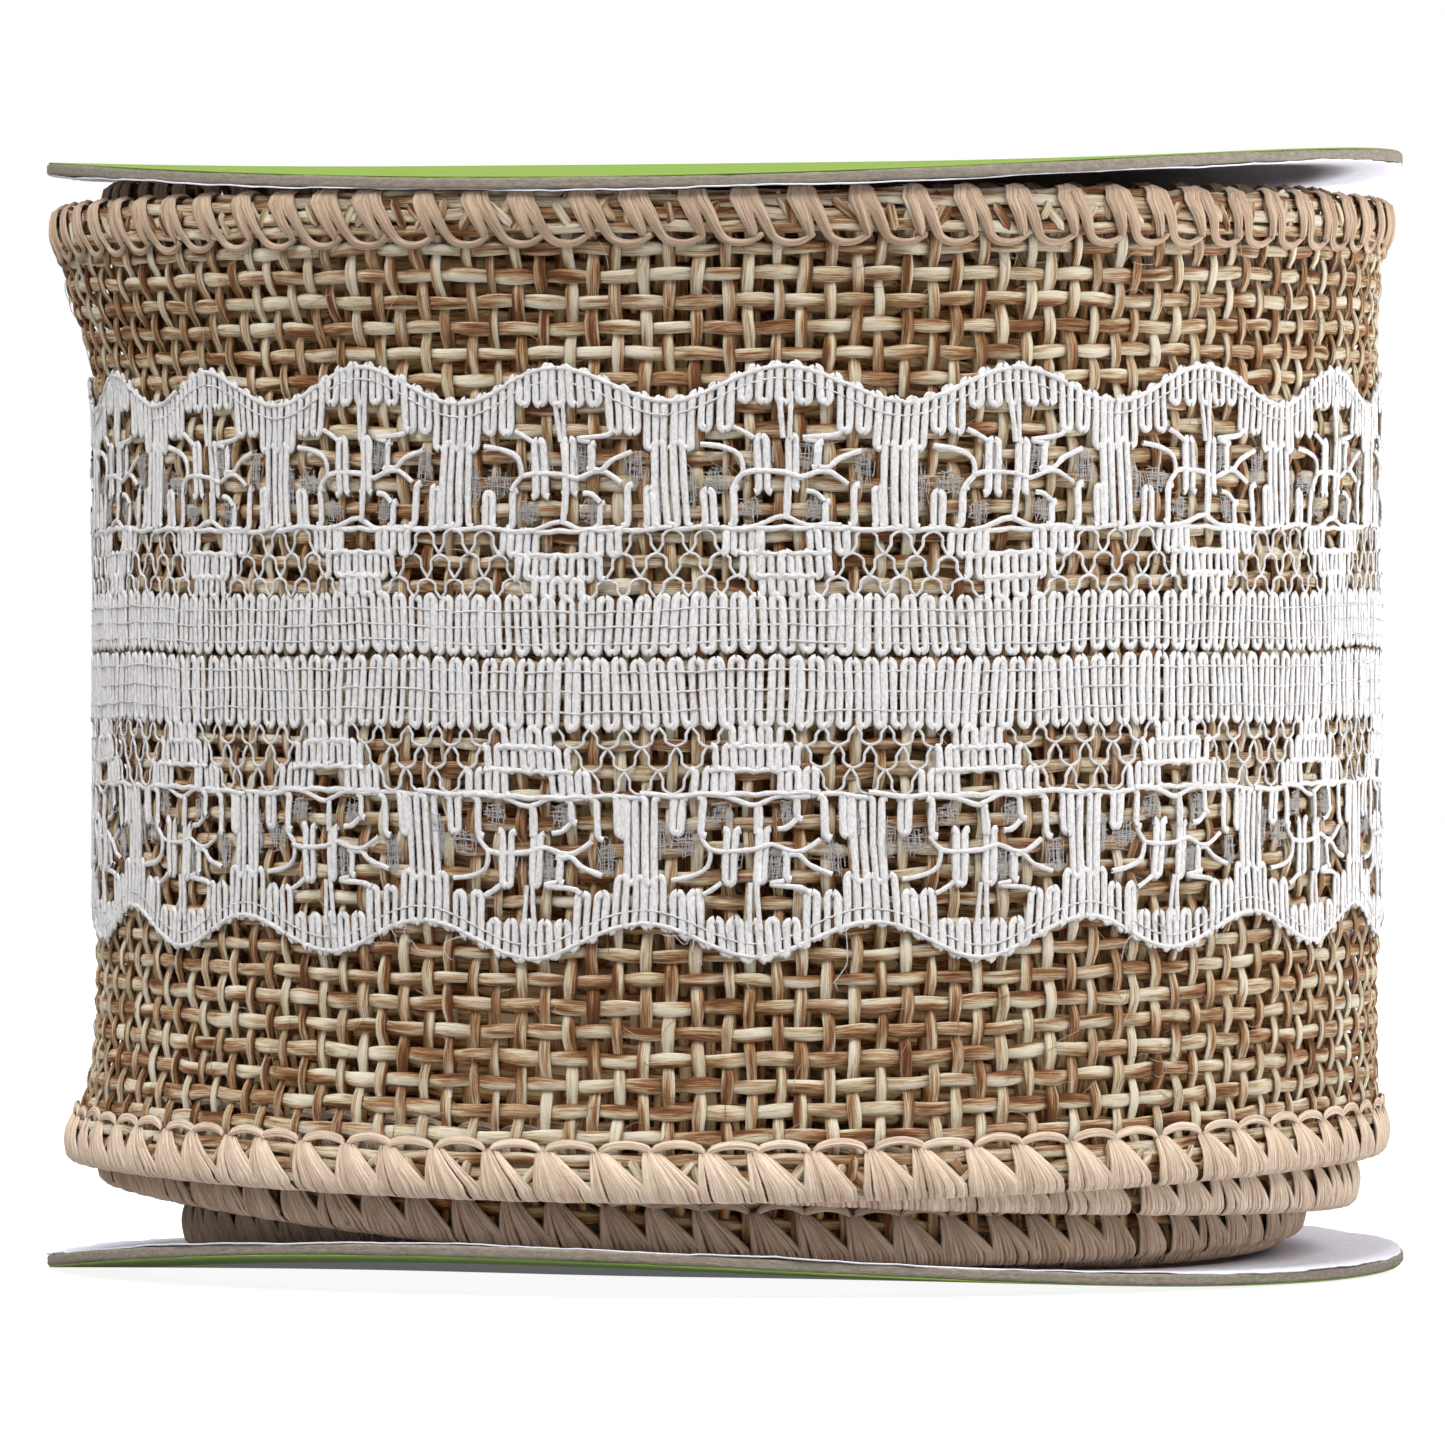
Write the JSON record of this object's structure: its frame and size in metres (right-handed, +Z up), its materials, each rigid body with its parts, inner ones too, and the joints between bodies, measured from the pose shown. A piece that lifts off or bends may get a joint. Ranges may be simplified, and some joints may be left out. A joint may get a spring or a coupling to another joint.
{
  "type": "ribbon spool",
  "caption": "Lace-trimmed burlap ribbon wound on a card core between two round board discs; its loose outer turn creeps along the roll and its free end peels off.",
  "frame": {"origin": "centre of the lower label's resting face, on the spool's axis", "axes": "+Z up along the spool's axis; -Y is the front the roll is seen from; +X to the right"},
  "size_m": [0.089, 0.089, 0.072],
  "materials": {
    "label_paper": "printed satin paper",
    "grey_board": "raw chipboard",
    "liner_paper": "matt uncoated paper",
    "kraft_tube": "spiral-wound kraft",
    "hot_melt": "cloudy hot-melt",
    "clear_tape": "clear tape",
    "burlap": "open plain weave",
    "lace": "knitted lace",
    "overlock_thread": "twisted thread"
  },
  "bodies": {
    "spool": {"lower_disc_label": "label_paper", "lower_disc_board": "grey_board", "lower_disc_liner": "liner_paper", "upper_disc_label": "label_paper", "upper_disc_board": "grey_board", "upper_disc_liner": "liner_paper", "core_tube": "kraft_tube", "lower_glue_bead": "hot_melt", "upper_glue_bead": "hot_melt", "start_tape": "clear_tape", "inner_turns_burlap": "burlap", "inner_turns_lace": "lace", "inner_turns_lower_stitching": "overlock_thread", "inner_turns_upper_stitching": "overlock_thread"},
    "outer_turn": {"outer_turn_burlap": "burlap", "outer_turn_lace": "lace", "outer_turn_lower_stitching": "overlock_thread", "outer_turn_upper_stitching": "overlock_thread"},
    "tail_1": {"tail_1_burlap": "burlap", "tail_1_lace": "lace", "tail_1_lower_stitching": "overlock_thread", "tail_1_upper_stitching": "overlock_thread"},
    "tail_2": {"tail_2_burlap": "burlap", "tail_2_lace": "lace", "tail_2_lower_stitching": "overlock_thread", "tail_2_upper_stitching": "overlock_thread"},
    "tail_3": {"tail_3_burlap": "burlap", "tail_3_lace": "lace", "tail_3_lower_stitching": "overlock_thread", "tail_3_upper_stitching": "overlock_thread"},
    "tail_4": {"tail_4_burlap": "burlap", "tail_4_lace": "lace", "tail_4_lower_stitching": "overlock_thread", "tail_4_upper_stitching": "overlock_thread"},
    "tail_5": {"tail_5_burlap": "burlap", "tail_5_lace": "lace", "tail_5_lower_stitching": "overlock_thread", "tail_5_upper_stitching": "overlock_thread", "end_tape": "clear_tape"}
  },
  "joints": [
    {"name": "outer_turn_creep", "type": "slide", "parent": "spool", "child": "outer_turn", "axis": [0, 0, 1], "range_m": [-0.0028, 0]},
    {"name": "tail_1_peel", "type": "hinge", "parent": "outer_turn", "child": "tail_1", "pos_m": [0.04294, 0.00376, 0], "axis": [0, 0, -1], "range_deg": [0, 20]},
    {"name": "tail_2_peel", "type": "hinge", "parent": "tail_1", "child": "tail_2", "pos_m": [0.03903, 0.01835, 0], "axis": [0, 0, -1], "range_deg": [0, 20]},
    {"name": "tail_3_peel", "type": "hinge", "parent": "tail_2", "child": "tail_3", "pos_m": [0.03036, 0.03072, 0], "axis": [0, 0, -1], "range_deg": [0, 20]},
    {"name": "tail_4_peel", "type": "hinge", "parent": "tail_3", "child": "tail_4", "pos_m": [0.01799, 0.03939, 0], "axis": [0, 0, -1], "range_deg": [0, 20]},
    {"name": "tail_5_peel", "type": "hinge", "parent": "tail_4", "child": "tail_5", "pos_m": [0.00339, 0.0433, 0], "axis": [0, 0, -1], "range_deg": [0, 20]}
  ],
  "couplings": [
    {"joint": "tail_2_peel", "follows": "tail_1_peel", "ratio": 1},
    {"joint": "tail_3_peel", "follows": "tail_1_peel", "ratio": 1},
    {"joint": "tail_4_peel", "follows": "tail_1_peel", "ratio": 1},
    {"joint": "tail_5_peel", "follows": "tail_1_peel", "ratio": 1}
  ]
}
